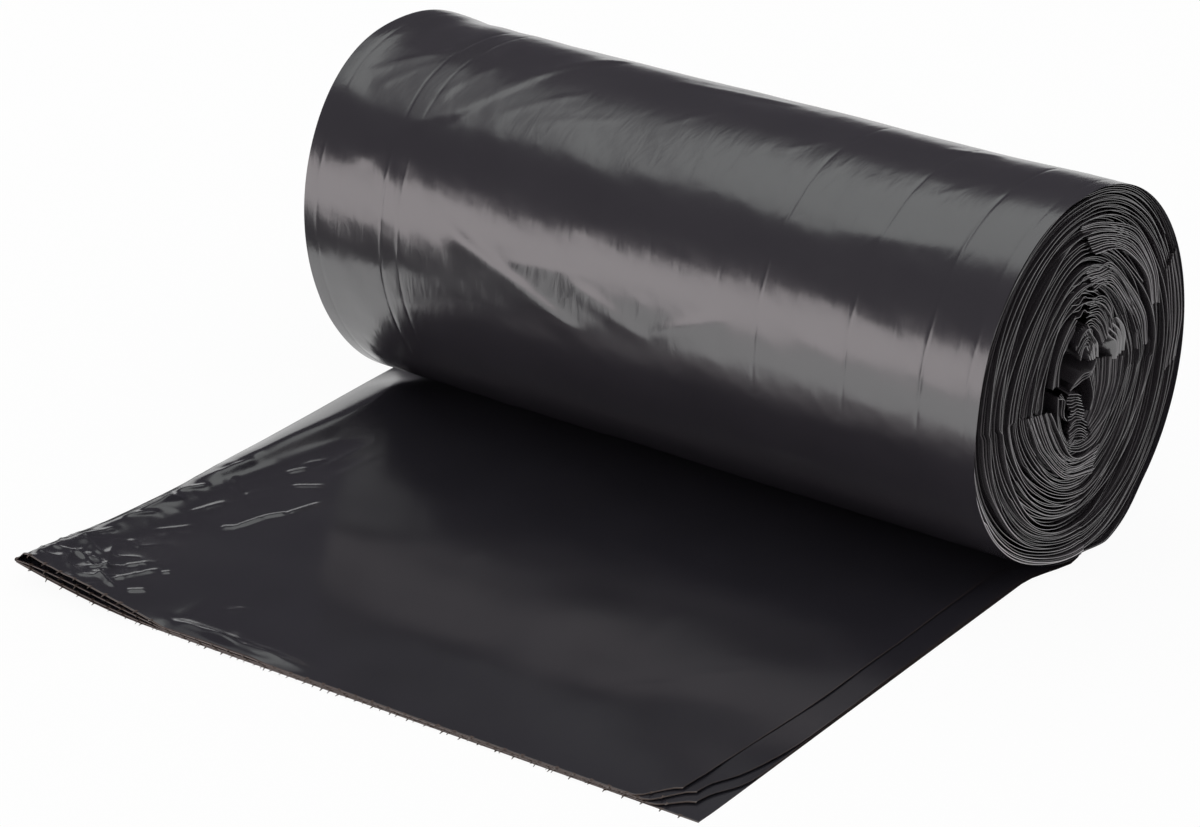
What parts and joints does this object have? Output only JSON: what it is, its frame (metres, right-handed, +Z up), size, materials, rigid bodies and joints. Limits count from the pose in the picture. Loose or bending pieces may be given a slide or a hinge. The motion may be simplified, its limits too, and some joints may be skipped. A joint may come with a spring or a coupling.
{
  "type": "bin bag roll",
  "caption": "Coreless roll of black bin bags, wound from one folded film web, with its loose torn end lying flat in front.",
  "frame": {"origin": "on the ground under the middle of the roll, at the middle of the flat that the roll lies on", "axes": "+X along the roll's axis, -Y from the roll towards the torn edge of the loose end, +Z up"},
  "size_m": [0.254, 0.2622, 0.12],
  "materials": {
    "film": "glossy thin film, near-black"
  },
  "bodies": {
    "root": {"bag_roll": "film"}
  },
  "joints": []
}
